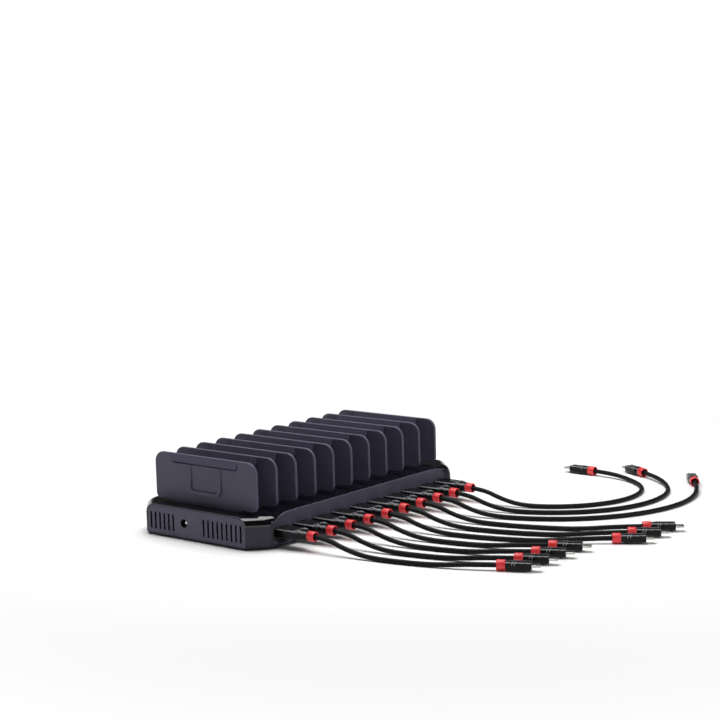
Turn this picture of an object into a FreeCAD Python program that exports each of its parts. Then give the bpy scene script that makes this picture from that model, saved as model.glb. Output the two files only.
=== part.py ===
# Charging station organizer: a low housing with ten sockets along its right side, ten bays on top
# kept apart by lift-out dividers, and ten short charging leads plugged into the sockets.
# Millimetres. X runs to the right along the front plate, Y to the back, Z up.
# The origin is on the table, under the middle of the housing.
import FreeCAD, Part
import math
import os

V = FreeCAD.Vector

# Housing
bay_count = 10
bay_pitch = 23.0             # from one divider to the next
front_margin = 14.0          # from the front plate's face to the middle of the first divider
rear_margin = 18.0           # from the rear plate's face to the middle of the last divider
port_shift = 2.0             # of a socket's axis behind the middle of its bay
body_width = 138.0
end_width = 108.0            # across the end plates
flare_length = 15.0          # length over which the housing widens behind each end plate
flare_radius = 19.0          # in plan, where a flare runs into the housing's side
body_height = 25.0
wall = 2.4
top_edge_radius = 7.5
bottom_edge_radius = 3.0
seam_height = 17.5           # of the joint between the shells, above the housing's underside
lip_thick = 1.2              # of the rim that keys the bottom shell into the top shell
lip_height = 1.5
lip_root = 3.0               # how far that rim runs down inside the bottom shell's wall
fit_gap = 0.2                # between fixed parts that slip into each other

# Rubber feet
foot_diameter = 10.0
foot_proud = 1.0
foot_seat = 0.8              # depth of the pocket that a foot is glued into
foot_inset = 18.0            # from the housing's sides and from the flares' inner ends

# Recess and panel for the sockets, on the right side
recess_depth = 5.0           # from the housing's side to the panel's face
recess_end = 15.4            # from an end plate's face to the recess's end
recess_foot = 2.7            # from the housing's underside to the recess's lower edge
recess_corner_radius = 7.2   # lower corners of the recess
recess_brow_start = 17.5     # from the housing's underside to the start of the recess's upper corners
recess_brow_length = 23.5    # those corners are quarter ellipses of this length
recess_brow_drop = 0.3       # of their tops under the cover's top
recess_draft = 3.6           # how much the recess narrows from the housing's side to the panel's face
panel_thick = 2.5
panel_flange = 0.7           # thickness of the panel's edge where it reaches the housing's surface
panel_rim = 0.8              # width of the panel's rim at the housing's side

# End plates
plate_thick = 1.0
plate_rim = 0.7              # of the shells around a plate
plate_edge_radius = 0.4      # around a plate's face
plate_step = 1.5             # depth of the step that keys a plate into the shells
plate_lip = 1.6              # width of that step, which runs round the plate's back
vent_count = 9
vent_first = 9.3             # from the middle of the plate to the innermost vent
vent_pitch = 4.9
vent_width = 1.8
vent_length = 13.8
vent_height = 11.5           # of a vent's middle above the housing's underside

# Power jack
jack_x = -12.2
jack_height = 12.5           # of its axis above the housing's underside
jack_hole = 7.0              # in the front plate
jack_room = 10.0             # least distance from its axis to a vent
jack_width = 9.0
jack_depth = 14.0
jack_cheek = 1.3             # wall of the jack's body around its bore, at the top
jack_bore = 6.3
jack_bore_depth = 10.5
jack_pin = 2.1
jack_pin_length = 9.1

# Sockets
port_height = 10.9           # of a socket's axis above the housing's underside
socket_width = 13.1
socket_height = 5.7
socket_length = 14.0
socket_sheet = 0.3
tongue_thick = 1.6
tongue_length = 8.5
tongue_block = 2.0           # length of the block that carries the tongue
tongue_gap = 0.25            # between the tongue and the roof of the plug's metal shell

# Circuit board and its parts
board_thick = 1.6
board_margin = 1.0           # from the board to the end plates' steps and the housing's walls
board_post_gap = 4.1         # from the left posts to the board's left edge
board_screw_inset = 5.0      # from that edge to the left row of board screws
boss_radius = 3.0
boss_sink_gap = 2.0          # from the right row of screw bosses to the heat sink
board_screw_shank = 2.4
board_screw_head = 4.6
board_screw_head_height = 1.6
board_screw_length = 4.5
chip_size = 8.0
chip_height = 1.5
sink_width = 10.0
sink_base = 2.0
sink_post_gap = 5.5          # from the heat sink to the right posts
sink_sleeve_gap = 2.05       # from the heat sink's fins to the sleeves above them
sink_fins = 3
sink_fin_thick = 1.2
inductor_boss_gap = 2.5      # from the inductors to the right row of screw bosses
inductor_size = 9.0
inductor_height = 5.0
inductor_corner = 2.0
capacitor_gap = 10.35        # from the capacitors to the inductors
capacitor_diameter = 6.3
capacitor_height = 7.0

# Screw posts between the shells
post_radius = 3.5
post_left_inset = 9.0        # from the housing's inner left wall
post_right_clear = 2.5       # between a right post and the sockets
case_screw_shank = 2.8
case_screw_head = 5.6
case_screw_head_height = 1.4
case_screw_length = 10.0
screw_gap = 0.1              # around a screw's shank

# Dividers
divider_width = 109.0
divider_height = 38.5
divider_thick = 2.7
divider_lift = 1.3           # of the divider's lower edge above the cover
divider_top_radius = 9.0
divider_foot_radius = 5.0
divider_edge_radius = 0.6
tab_width = 16.0             # the divider stands on the cover from one tab's outer edge to the other's
tab_post_gap = 4.5           # from the tabs to the right posts
tab_depth = 7.0
tab_gap = 0.3                # around a tab in its slot
sleeve_wall = 1.5
sleeve_depth = 5.0           # of the slots' sleeves under the cover's top
band_width = 70.0
band_height = 6.4
band_proud = 1.6             # of its lower edge, from which its face slopes back to the divider's top
groove_height = 1.2          # of the groove under the band
groove_depth = 1.3
rib_width = 36.0             # of the raised U, outside
rib_side = 3.8               # width of its legs
rib_foot = 2.8               # width of its lower run
rib_rise = 7.7               # of its outer lower edge above the divider's lower edge
rib_reach = 26.0             # height over which the U fades out
rib_radius = 6.5
rib_proud = 1.5

# Charging leads
cord_diameter = 3.8
plug_gap = 0.8               # from the panel to the plug's shoulder
plug_width = 15.5
plug_thick = 7.5
plug_full = 19.0             # length of the plug's full-width part
plug_taper = 7.5
plug_neck_length = 2.8
plug_neck_width = 8.6
plug_round = 2.2
usb_side_gap = 0.25          # between the plug's metal shell and the socket's sides
usb_flat_gap = 0.3           # and its floor and roof
usb_tip_gap = 0.75           # and the block at its back
usb_sheet = 0.3
usb_core_gap = 0.45          # between the tongue and the insulator in the plug's metal shell
collar_diameter = 8.0
collar_length = 6.6
collar_bore = 6.2
device_plug_width = 8.6
device_plug_thick = 6.0
device_plug_full = 15.0
device_plug_taper = 4.0
device_plug_neck_width = 6.8
device_plug_round = 1.6
device_tip_width = 6.6
device_tip_thick = 1.6
device_tip_length = 6.7

# Routes of the leads, from the USB plug's neck to the device plug's neck: X, Y from the socket, Z
short_route = [(94.1, 0, 11.9), (111, 0, 11.9), (130, 0.5, 5.6), (149, 1.8, 2.2), (175, 5, 2.0),
               (203, 12, 2.0), (230, 22.5, 4.2), (251, 33.5, 4.2)]
middle_route = [(94.1, 0, 11.9), (111, 0, 11.9), (130, 0.5, 5.6), (149, 2, 2.2), (176, 6, 2.0),
                (205, 14, 2.0), (233, 26, 2.0), (259, 41.5, 4.2), (279, 56, 4.2)]
long_outer_route = [(94.1, 0, 11.9), (111, 0, 11.9), (130, 0.5, 5.6), (149, 2.5, 2.2), (178, 11, 2.0),
                    (207, 27, 2.0), (232, 52, 2.0), (249, 84, 2.0), (256, 119, 2.0), (253, 152, 2.0),
                    (241, 182, 4.2), (226, 203, 4.2)]
long_mid_route = [(94.1, 0, 11.9), (111, 0, 11.9), (130, 0.5, 5.6), (149, 2.5, 2.2), (176, 12, 2.0),
                  (203, 31, 2.0), (223, 59, 2.0), (232, 92, 2.0), (229, 126, 2.0), (214, 157, 2.0),
                  (189, 179, 4.2), (167, 190, 4.2)]
long_inner_route = [(94.1, 0, 11.9), (111, 0, 11.9), (130, 0.5, 5.6), (149, 2.5, 2.2), (174, 13, 2.0),
                    (195, 33, 2.0), (208, 60, 2.0), (209, 90, 2.0), (198, 118, 2.0), (176, 138, 2.0),
                    (149, 147, 4.2), (125, 148, 4.2)]
lead_routes = [short_route] * 4 + [middle_route] * 3
lead_routes += [long_outer_route, long_mid_route, long_inner_route]

# Places worked out from the sizes above
half_width = body_width / 2
half_end = end_width / 2
half_length = (front_margin + bay_count * bay_pitch + rear_margin) / 2
z_under = foot_proud
z_top = z_under + body_height
z_floor = z_under + wall
z_ceiling = z_top - wall
z_seam = z_under + seam_height
z_port = z_under + port_height
z_board = z_port - socket_height / 2
panel_face = half_width - recess_depth
panel_back = panel_face - panel_thick
socket_back = panel_face - socket_length
divider_places = [front_margin - half_length + bay_pitch * k for k in range(bay_count + 1)]
port_places = [y + bay_pitch / 2 + port_shift for y in divider_places[:-1]]
vents_right = [vent_first + vent_pitch * k for k in range(vent_count)]
vent_row = vents_right + [-x for x in vents_right]
post_left_x = -(half_width - wall - post_left_inset)
post_right_x = socket_back - post_right_clear - post_radius
tab_x = post_right_x - post_radius - tab_post_gap - tab_width / 2
divider_foot_half = tab_x + tab_width / 2
z_sleeve = z_ceiling - sleeve_depth
sink_left = post_right_x - post_radius - sink_post_gap - sink_width
sink_height = z_sleeve - sink_sleeve_gap - z_board - chip_height
chip_x = sink_left + sink_width / 2
boss_right_x = sink_left - boss_sink_gap - boss_radius
inductor_x = boss_right_x - boss_radius - inductor_boss_gap - inductor_size / 2
capacitor_x = inductor_x - inductor_size / 2 - capacitor_gap - capacitor_diameter / 2
board_left_x = post_left_x + post_radius + board_post_gap
boss_left_x = board_left_x + board_screw_inset
usb_width = socket_width - 2 * (socket_sheet + usb_side_gap)
usb_thick = socket_height - 2 * (socket_sheet + usb_flat_gap)
usb_length = plug_gap + socket_length - socket_sheet - tongue_block - usb_tip_gap
tongue_width = usb_width - 2 * (usb_sheet + fit_gap)
tongue_z = z_port + usb_thick / 2 - usb_sheet - tongue_gap - tongue_thick / 2
usb_core_thick = usb_thick - 2 * usb_sheet - tongue_gap - tongue_thick - usb_core_gap
beyond = 5.0                 # how far a cutting shape reaches past what it cuts


def box(x0, x1, y0, y1, z0, z1):
    return Part.makeBox(x1 - x0, y1 - y0, z1 - z0, V(x0, y0, z0))


def rod(x, y, z0, z1, radius):
    return Part.makeCylinder(radius, z1 - z0, V(x, y, z0))


def outline_face(points):
    return Part.Face(Part.makePolygon(points + points[:1]))


def rounded(shape, radius, chosen):
    return shape.makeFillet(radius, [edge for edge in shape.Edges if chosen(edge)])


def runs_along(edge, axis):
    direction = edge.Vertexes[-1].Point - edge.Vertexes[0].Point
    return direction.Length > 0 and abs(direction.normalize().dot(axis)) > 0.999


def save(name, solids):
    shape = Part.makeCompound(solids) if len(solids) > 1 else solids[0]
    if not shape.isValid() or len(shape.Solids) != len(solids):
        print("CHECK", name, "valid", shape.isValid(), "solids", len(shape.Solids), "of", len(solids))
    shape.exportStep("parts/" + name + ".step")


def housing_block(inset, z0, z1, top_radius, bottom_radius):
    """The housing's outer form, drawn in by inset at its sides and flares, between two heights."""
    flare_width = half_width - half_end
    slant = math.hypot(flare_length, flare_width)
    end_x = half_end - inset * slant / flare_length
    side_x = half_width - inset
    side_y = half_length - flare_length - inset * (slant - flare_length) / flare_width
    quarter = [(end_x, -half_length), (side_x, -side_y), (side_x, side_y), (end_x, half_length)]
    corners = [V(x, y, z0) for x, y in quarter] + [V(-x, y, z0) for x, y in reversed(quarter)]
    block = outline_face(corners).extrude(V(0, 0, z1 - z0))
    block = rounded(block, flare_radius - inset, lambda edge: abs(abs(edge.CenterOfMass.y) - side_y) < 1e-6)
    for z, radius in ((z1, top_radius), (z0, bottom_radius)):
        def at_side(edge):
            centre = edge.CenterOfMass
            return abs(centre.z - z) < 1e-6 and abs(centre.x) > end_x / 2
        block = rounded(block, radius, at_side)
    return block


def between(y0, y1):
    return box(-body_width, body_width, y0, y1, -beyond, z_top + beyond)


inner_top_radius = max(top_edge_radius - wall, fit_gap)
inner_bottom_radius = max(bottom_edge_radius - wall, fit_gap)
body = housing_block(0, z_under, z_top, top_edge_radius, bottom_edge_radius)
cavity = housing_block(wall, z_floor, z_ceiling, inner_top_radius, inner_bottom_radius)
step_block = housing_block(wall + fit_gap, z_floor + fit_gap, z_ceiling - fit_gap,
                           inner_top_radius, inner_bottom_radius)
step_y = half_length - plate_thick
inside_y = step_y - plate_step


def plate_block(rim):
    """The housing's form drawn in by rim all round, for an end plate and for its seat in the shells."""
    return housing_block(rim, z_under + rim, z_top - rim, top_edge_radius - rim, bottom_edge_radius - rim)


shell = body.cut(cavity).cut(plate_block(plate_rim).cut(between(-step_y, step_y)))


def recess_wire(x, narrow):
    """The recess's outline in a plane of constant X, drawn in by narrow at its ends and foot."""
    end_y = half_length - recess_end - narrow
    radius = recess_corner_radius - narrow
    corner_y = end_y - radius
    corner_z = z_under + recess_foot + recess_corner_radius
    brow_y = end_y - recess_brow_length
    side_z = z_under + recess_brow_start
    brow_z = z_top - recess_brow_drop
    above = z_top + beyond
    diagonal = radius * math.sqrt(0.5)
    edges = [Part.LineSegment(V(x, -corner_y, corner_z - radius), V(x, corner_y, corner_z - radius)),
             Part.LineSegment(V(x, brow_y, above), V(x, -brow_y, above))]
    for side in (-1, 1):
        low = V(x, side * corner_y, corner_z - radius)
        turn = V(x, side * (corner_y + diagonal), corner_z - diagonal)
        end = V(x, side * end_y, corner_z)
        shoulder = V(x, side * end_y, side_z)
        brow = V(x, side * brow_y, brow_z)
        ellipse = Part.Ellipse(shoulder, brow, V(x, side * brow_y, side_z))
        edges.append(Part.Arc(low, turn, end))
        edges.append(Part.LineSegment(end, shoulder))
        edges.append(Part.ArcOfEllipse(ellipse, 0, math.pi / 2))
        edges.append(Part.LineSegment(brow, V(x, side * brow_y, above)))
    return Part.Wire(Part.__sortEdges__([edge.toShape() for edge in edges]))


def recess_prism(x0, narrow):
    reach = V(half_width + beyond - x0, 0, 0)
    return Part.Face(recess_wire(x0, narrow)).extrude(reach)


panel_seat = recess_prism(panel_face - panel_flange, -panel_rim - fit_gap)
posts = [(x, y) for x in (post_left_x, post_right_x) for y in (port_places[0], 0, port_places[-1])]
board_screw_y = inside_y - board_margin - 2 * boss_radius
board_screw_places = [(x, y) for x in (boss_left_x, boss_right_x)
                      for y in (-board_screw_y, 0, board_screw_y)]
foot_x = half_width - foot_inset
foot_y = half_length - flare_length - foot_inset
foot_places = [(x, y) for x in (-foot_x, foot_x) for y in (-foot_y, foot_y)]


def make_bottom_shell():
    shape = shell.common(box(-body_width, body_width, -half_length, half_length, -beyond, z_seam))
    lip_inset = wall + fit_gap
    ring = housing_block(lip_inset, z_floor, z_ceiling, inner_top_radius, inner_bottom_radius)
    ring = ring.cut(housing_block(lip_inset + lip_thick, z_floor - beyond, z_ceiling + beyond,
                                  inner_top_radius, inner_bottom_radius))
    lip_end = inside_y - fit_gap
    lip_right = panel_back - 2 * fit_gap
    lip_foot = z_seam - lip_root
    lip = ring.common(box(-body_width, lip_right, -lip_end, lip_end, lip_foot, z_seam + lip_height))
    web = box(-body_width, lip_right, -lip_end, lip_end, lip_foot, z_seam - fit_gap)
    lip_web = cavity.cut(housing_block(lip_inset, z_floor - beyond, z_ceiling, fit_gap, fit_gap))
    shape = shape.fuse([lip, lip_web.common(web)])
    shape = shape.cut(panel_seat)
    bosses = [rod(x, y, z_floor, z_board - board_thick, boss_radius) for x, y in board_screw_places]
    shape = shape.fuse(bosses)
    seat_z = z_under + case_screw_head_height + fit_gap
    holes = []
    for x, y in posts:
        holes.append(rod(x, y, -beyond, z_floor + beyond, case_screw_shank / 2 + screw_gap))
        holes.append(rod(x, y, -beyond, seat_z, case_screw_head / 2 + fit_gap))
    for x, y in board_screw_places:
        hole_z = z_board - board_screw_length
        holes.append(rod(x, y, hole_z, z_board, board_screw_shank / 2 + screw_gap))
    for x, y in foot_places:
        holes.append(rod(x, y, -beyond, z_under + foot_seat, foot_diameter / 2 + fit_gap))
    return shape.cut(holes).removeSplitter()


def make_top_shell():
    shape = shell.common(box(-body_width, body_width, -half_length, half_length, z_seam, z_top + beyond))
    slot_x = tab_width / 2 + tab_gap
    slot_y = divider_thick / 2 + tab_gap
    sleeves = []
    slots = []
    for y in divider_places:
        for x in (-tab_x, tab_x):
            sleeves.append(box(x - slot_x - sleeve_wall, x + slot_x + sleeve_wall, y - slot_y - sleeve_wall,
                               y + slot_y + sleeve_wall, z_sleeve, z_ceiling))
            slots.append(box(x - slot_x, x + slot_x, y - slot_y, y + slot_y,
                             z_sleeve - beyond, z_top + beyond))
    columns = [rod(x, y, z_floor, z_ceiling, post_radius) for x, y in posts]
    pilots = [rod(x, y, z_floor - beyond, z_floor + case_screw_length, case_screw_shank / 2 + screw_gap)
              for x, y in posts]
    shape = shape.fuse(sleeves + columns).cut(slots + pilots)
    return shape.cut(panel_seat).removeSplitter()


def make_port_panel():
    outer_x = half_width + beyond
    outer_narrow = -recess_draft * (outer_x - panel_face) / recess_depth + recess_draft
    hollow = Part.makeLoft([recess_wire(outer_x, outer_narrow), recess_wire(panel_face, recess_draft)],
                           True, True)
    back = recess_prism(panel_back, -panel_rim).common(step_block)
    panel = recess_prism(panel_face - panel_flange, -panel_rim).common(body).fuse(back).cut(hollow)
    half_y = socket_width / 2 + fit_gap
    half_z = socket_height / 2 + fit_gap
    openings = [box(panel_back - beyond, panel_face + beyond, y - half_y, y + half_y,
                    z_port - half_z, z_port + half_z) for y in port_places]
    return panel.cut(openings).removeSplitter()


def vent(x, y0, y1):
    centre_z = z_under + vent_height
    half_run = (vent_length - vent_width) / 2
    middle = box(x - vent_width / 2, x + vent_width / 2, y0, y1, centre_z - half_run, centre_z + half_run)
    ends = [Part.makeCylinder(vent_width / 2, y1 - y0, V(x, y0, z), V(0, 1, 0))
            for z in (centre_z - half_run, centre_z + half_run)]
    return middle.fuse(ends)


def make_end_plate(side, vent_places):
    """An end plate at side -1, the front, or 1, the back, with its vents."""
    lip_inset = wall + fit_gap + plate_lip
    face_y = side * half_length
    step = side * step_y
    inner = side * inside_y
    plate = plate_block(plate_rim + fit_gap).common(between(min(face_y, step), max(face_y, step)))

    def around_face(edge):
        return edge.BoundBox.YLength < 1e-6 and abs(edge.CenterOfMass.y - face_y) < 1e-6
    plate = rounded(plate, plate_edge_radius, around_face)
    hollow = housing_block(lip_inset, z_under + lip_inset, z_top - lip_inset, inner_bottom_radius,
                           inner_bottom_radius)
    step_ring = step_block.cut(hollow).common(between(min(step, inner), max(step, inner)))
    plate = plate.fuse(step_ring)
    y0 = min(face_y, inner) - beyond
    y1 = max(face_y, inner) + beyond
    return plate.cut([vent(x, y0, y1) for x in vent_places])


def make_front_plate():
    start = V(jack_x, -half_length - beyond, z_under + jack_height)
    hole = Part.makeCylinder(jack_hole / 2, half_length, start, V(0, 1, 0))
    return make_end_plate(-1, [x for x in vent_row if abs(x - jack_x) > jack_room]).cut(hole)


def make_board():
    end_y = inside_y - board_margin
    board = box(board_left_x, panel_back - fit_gap, -end_y, end_y, z_board - board_thick, z_board)
    room = housing_block(wall + board_margin, z_floor, z_ceiling, inner_top_radius, inner_bottom_radius)
    board = board.common(room)
    holes = [rod(x, y, z_floor, z_ceiling, post_radius + board_margin) for x, y in posts]
    holes += [rod(x, y, z_floor, z_ceiling, board_screw_shank / 2 + screw_gap) for x, y in board_screw_places]
    return board.cut(holes)


def make_socket_shell(y):
    half_y = socket_width / 2
    half_z = socket_height / 2
    outer = box(socket_back, panel_face, y - half_y, y + half_y, z_port - half_z, z_port + half_z)
    inner = box(socket_back + socket_sheet, panel_face + beyond, y - half_y + socket_sheet,
                y + half_y - socket_sheet, z_port - half_z + socket_sheet, z_port + half_z - socket_sheet)
    return outer.cut(inner)


def make_socket_tongue(y):
    back = socket_back + socket_sheet
    half_y = socket_width / 2 - socket_sheet - fit_gap
    half_z = socket_height / 2 - socket_sheet - fit_gap
    block = box(back, back + tongue_block, y - half_y, y + half_y, z_port - half_z, z_port + half_z)
    tongue = box(back + tongue_block, back + tongue_block + tongue_length, y - tongue_width / 2,
                 y + tongue_width / 2, tongue_z - tongue_thick / 2, tongue_z + tongue_thick / 2)
    return block.fuse(tongue).removeSplitter()


def make_jack():
    axis_z = z_under + jack_height
    front = fit_gap - step_y
    body_top = axis_z + jack_bore / 2 + jack_cheek
    left = jack_x - jack_width / 2
    block = box(left, left + jack_width, front, front + jack_depth, z_board, body_top)
    bore = Part.makeCylinder(jack_bore / 2, jack_bore_depth, V(jack_x, front, axis_z), V(0, 1, 0))
    pin_start = front + jack_bore_depth - jack_pin_length
    pin = Part.makeCylinder(jack_pin / 2, jack_pin_length, V(jack_x, pin_start, axis_z), V(0, 1, 0))
    return block.cut(bore), pin


def make_screw(x, y, seat_z, up, head, head_height, shank, length):
    """A pan-head screw whose head lies on seat_z; up is 1 with the head above, -1 with it below."""
    axis = V(0, 0, up)
    cap = Part.makeCylinder(head / 2, head_height, V(x, y, seat_z), axis)
    top_z = seat_z + up * head_height
    cap = rounded(cap, head_height / 3, lambda edge: abs(edge.CenterOfMass.z - top_z) < 1e-6)
    stem = Part.makeCylinder(shank / 2, length, V(x, y, seat_z), V(0, 0, -up))
    return cap.fuse(stem)


def make_heat_sink():
    start = port_places[0] - chip_size / 2
    end = port_places[-1] + chip_size / 2
    bottom = z_board + chip_height
    sink = box(sink_left, sink_left + sink_width, start, end, bottom, bottom + sink_base)
    step = (sink_width - sink_fin_thick) / (sink_fins - 1)
    fins = [box(x, x + sink_fin_thick, start, end, bottom, bottom + sink_height)
            for x in [sink_left + step * k for k in range(sink_fins)]]
    return sink.fuse(fins).removeSplitter()


def make_inductor(y):
    half = inductor_size / 2
    block = box(inductor_x - half, inductor_x + half, y - half, y + half, z_board, z_board + inductor_height)
    return rounded(block, inductor_corner, lambda edge: runs_along(edge, V(0, 0, 1)))


def plate_outline(half_x, z0, z1, low_radius, high_radius):
    """Rounded upright rectangle in the plane Y = 0, with its own radius at the lower and upper corners."""
    edges = []
    for side in (-1, 1):
        for z, radius, up in ((z0, low_radius, 1), (z1, high_radius, -1)):
            short = radius * (1 - math.sqrt(0.5))
            on_side = V(side * half_x, 0, z + up * radius)
            on_end = V(side * (half_x - radius), 0, z)
            turn = V(side * (half_x - short), 0, z + up * short)
            edges.append(Part.Arc(on_side, turn, on_end))
        low = V(side * half_x, 0, z0 + low_radius)
        high = V(side * half_x, 0, z1 - high_radius)
        edges.append(Part.LineSegment(low, high))
    for z, radius in ((z0, low_radius), (z1, high_radius)):
        edges.append(Part.LineSegment(V(radius - half_x, 0, z), V(half_x - radius, 0, z)))
    return Part.Face(Part.Wire(Part.__sortEdges__([edge.toShape() for edge in edges])))


def make_divider():
    """A divider at Y = 0: plate, foot, two tabs, and the raised band, its groove and the U on its front."""
    bottom = z_top + divider_lift
    top = bottom + divider_height
    front = -divider_thick / 2
    plate = plate_outline(divider_width / 2, bottom, top, divider_foot_radius, divider_top_radius)
    plate = plate.extrude(V(0, divider_thick, 0))
    plate.translate(V(0, front, 0))
    plate = rounded(plate, divider_edge_radius, lambda edge: edge.BoundBox.YLength < 1e-6)
    pieces = [box(-divider_foot_half, divider_foot_half, front, -front, z_top, bottom + divider_edge_radius)]
    for x in (-tab_x, tab_x):
        pieces.append(box(x - tab_width / 2, x + tab_width / 2, front, -front, z_top - tab_depth, z_top))
    band_half = band_width / 2
    sink = divider_edge_radius
    proud = front - band_proud
    profile = [V(-band_half, front + sink, top - sink), V(-band_half, front, top - sink),
               V(-band_half, proud, top - band_height), V(-band_half, front + sink, top - band_height)]
    pieces.append(outline_face(profile).extrude(V(band_width, 0, 0)))
    low = bottom + rib_rise
    high = low + rib_reach
    reach = high + rib_radius + beyond
    outer = plate_outline(rib_width / 2, low, reach, rib_radius, rib_radius)
    inner_radius = max(rib_radius - rib_side, fit_gap)
    inner_half = rib_width / 2 - rib_side
    inner = plate_outline(inner_half, low + rib_foot, reach + beyond, inner_radius, inner_radius)
    rib = outer.cut(inner).extrude(V(0, rib_proud + sink, 0))
    rib.translate(V(0, front - rib_proud, 0))
    slope = [V(-rib_width, front + sink, low - fit_gap), V(-rib_width, front - rib_proud, low - fit_gap),
             V(-rib_width, front - rib_proud, low + rib_foot), V(-rib_width, front, high),
             V(-rib_width, front + sink, high)]
    pieces.append(rib.common(outline_face(slope).extrude(V(2 * rib_width, 0, 0))))
    groove_top = top - band_height
    groove = box(-band_half, band_half, proud, front + groove_depth, groove_top - groove_height, groove_top)
    return plate.fuse(pieces).cut(groove).removeSplitter()


def tapered_plug(length, taper, neck, width, neck_width, thick, corner):
    """A plug's overmould along +X from X = 0: full width, then tapering in plan to its neck."""
    half = width / 2
    neck_half = neck_width / 2
    plan = [V(0, -half, 0), V(length, -half, 0), V(length + taper, -neck_half, 0),
            V(length + taper + neck, -neck_half, 0), V(length + taper + neck, neck_half, 0),
            V(length + taper, neck_half, 0), V(length, half, 0), V(0, half, 0)]
    block = outline_face(plan).extrude(V(0, 0, thick))
    block.translate(V(0, 0, -thick / 2))

    def long_edge(edge):
        centre = edge.CenterOfMass
        return abs(abs(centre.z) - thick / 2) < 1e-6 and abs(centre.y) > 1e-6
    return rounded(block, corner, long_edge)


def make_usb_plug():
    """The USB-A plug along +X, with its shoulder at X = 0: overmould, metal shell and insulator."""
    mould = tapered_plug(plug_full, plug_taper, plug_neck_length, plug_width, plug_neck_width, plug_thick,
                         plug_round)
    half_y = usb_width / 2
    half_z = usb_thick / 2
    tip = box(-usb_length, 0, -half_y, half_y, -half_z, half_z)
    hollow = box(-usb_length - beyond, -usb_sheet, usb_sheet - half_y, half_y - usb_sheet,
                 usb_sheet - half_z, half_z - usb_sheet)
    core = box(-usb_length, -usb_sheet, usb_sheet - half_y, half_y - usb_sheet, usb_sheet - half_z,
               usb_sheet - half_z + usb_core_thick)
    return [mould, tip.cut(hollow), core]


def make_device_plug():
    """The slim device plug along +X, with its neck at X = 0: overmould and metal tip."""
    length = device_plug_full + device_plug_taper
    mould = tapered_plug(device_plug_full, device_plug_taper, 0, device_plug_width, device_plug_neck_width,
                         device_plug_thick, device_plug_round)
    mould.rotate(V(0, 0, 0), V(0, 0, 1), 180)
    mould.translate(V(length, 0, 0))
    half_y = device_tip_width / 2
    half_z = device_tip_thick / 2
    tip = box(length, length + device_tip_length, -half_y, half_y, -half_z, half_z)
    tip = rounded(tip, half_z / 2, lambda edge: runs_along(edge, V(1, 0, 0)))
    return [mould, tip]


def make_collar():
    ring = Part.makeCylinder(collar_diameter / 2, collar_length, V(0, 0, 0), V(1, 0, 0))
    bore = Part.makeCylinder(collar_bore / 2, collar_length, V(0, 0, 0), V(1, 0, 0))
    return ring.cut(bore)


def make_cord(points):
    """Round cord along straight runs joined by tangent arcs, with its length and the arcs' radii."""
    edges = []
    radii = []
    start = points[0]
    for before, corner, after in zip(points, points[1:], points[2:]):
        back = before - corner
        ahead = after - corner
        reach = 0.45 * min(back.Length, ahead.Length)
        half_turn = (math.pi - back.getAngle(ahead)) / 2
        radius = reach / math.tan(half_turn)
        back.normalize()
        ahead.normalize()
        bisector = back + ahead
        bisector.normalize()
        arc_start = corner + back * reach
        arc_end = corner + ahead * reach
        arc_middle = corner + bisector * (radius / math.cos(half_turn) - radius)
        edges.append(Part.LineSegment(start, arc_start).toShape())
        edges.append(Part.Arc(arc_start, arc_middle, arc_end).toShape())
        radii.append(radius)
        start = arc_end
    edges.append(Part.LineSegment(start, points[-1]).toShape())
    path = Part.Wire(edges)
    section = Part.Wire(Part.Circle(points[0], points[1] - points[0], cord_diameter / 2).toShape())
    tube = path.makePipeShell([section], True, False)
    return tube, path.Length, radii


def moved(shape, place, heading):
    shape.rotate(V(0, 0, 0), V(0, 0, 1), heading)
    shape.translate(place)
    return shape


def save_lead(number, y, route):
    shoulder = panel_face + plug_gap
    neck = shoulder + plug_full + plug_taper + plug_neck_length
    points = [V(px, y + py, pz) for px, py, pz in route]
    points[0] = V(neck, y, z_port)
    points[1].z = z_port
    cord, length, radii = make_cord(points)
    expected = math.pi * cord_diameter ** 2 / 4 * length
    print("lead", number, "length %.1f" % length, "volume ratio %.4f" % (cord.Volume / expected),
          "least radius %.0f" % min(radii), "radii", [round(radius) for radius in radii])
    last = points[-1] - points[-2]
    heading = math.degrees(math.atan2(last.y, last.x))
    far = points[-1]
    plugs = [moved(part, V(shoulder, y, z_port), 0) for part in make_usb_plug()]
    plugs += [moved(part, far, heading) for part in make_device_plug()]
    collars = [moved(make_collar(), V(neck, y, z_port), 0), moved(make_collar(), far, heading + 180)]
    name = "usb_lead_%02d_" % number
    save(name + "cord", [cord])
    save(name + "plugs", plugs)
    save(name + "collars", collars)


os.makedirs("parts", exist_ok=True)
jack_body, jack_pin_rod = make_jack()
screw_seat = z_under + case_screw_head_height + fit_gap
save("bottom_shell", [make_bottom_shell()])
save("top_shell", [make_top_shell()])
save("port_panel", [make_port_panel()])
save("front_vent_plate", [make_front_plate()])
save("rear_vent_plate", [make_end_plate(1, vent_row)])
save("circuit_board", [make_board()])
save("usb_socket_shells", [make_socket_shell(y) for y in port_places])
save("usb_socket_tongues", [make_socket_tongue(y) for y in port_places])
save("dc_jack_body", [jack_body])
save("dc_jack_pin", [jack_pin_rod])
save("charger_chips", [box(chip_x - chip_size / 2, chip_x + chip_size / 2, y - chip_size / 2,
                           y + chip_size / 2, z_board, z_board + chip_height) for y in port_places])
save("heat_sink", [make_heat_sink()])
save("power_inductors", [make_inductor(y) for y in port_places])
save("filter_capacitors", [rod(capacitor_x, y, z_board, z_board + capacitor_height, capacitor_diameter / 2)
                           for y in port_places])
save("rubber_feet", [rod(x, y, 0, z_under + foot_seat, foot_diameter / 2) for x, y in foot_places])
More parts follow.
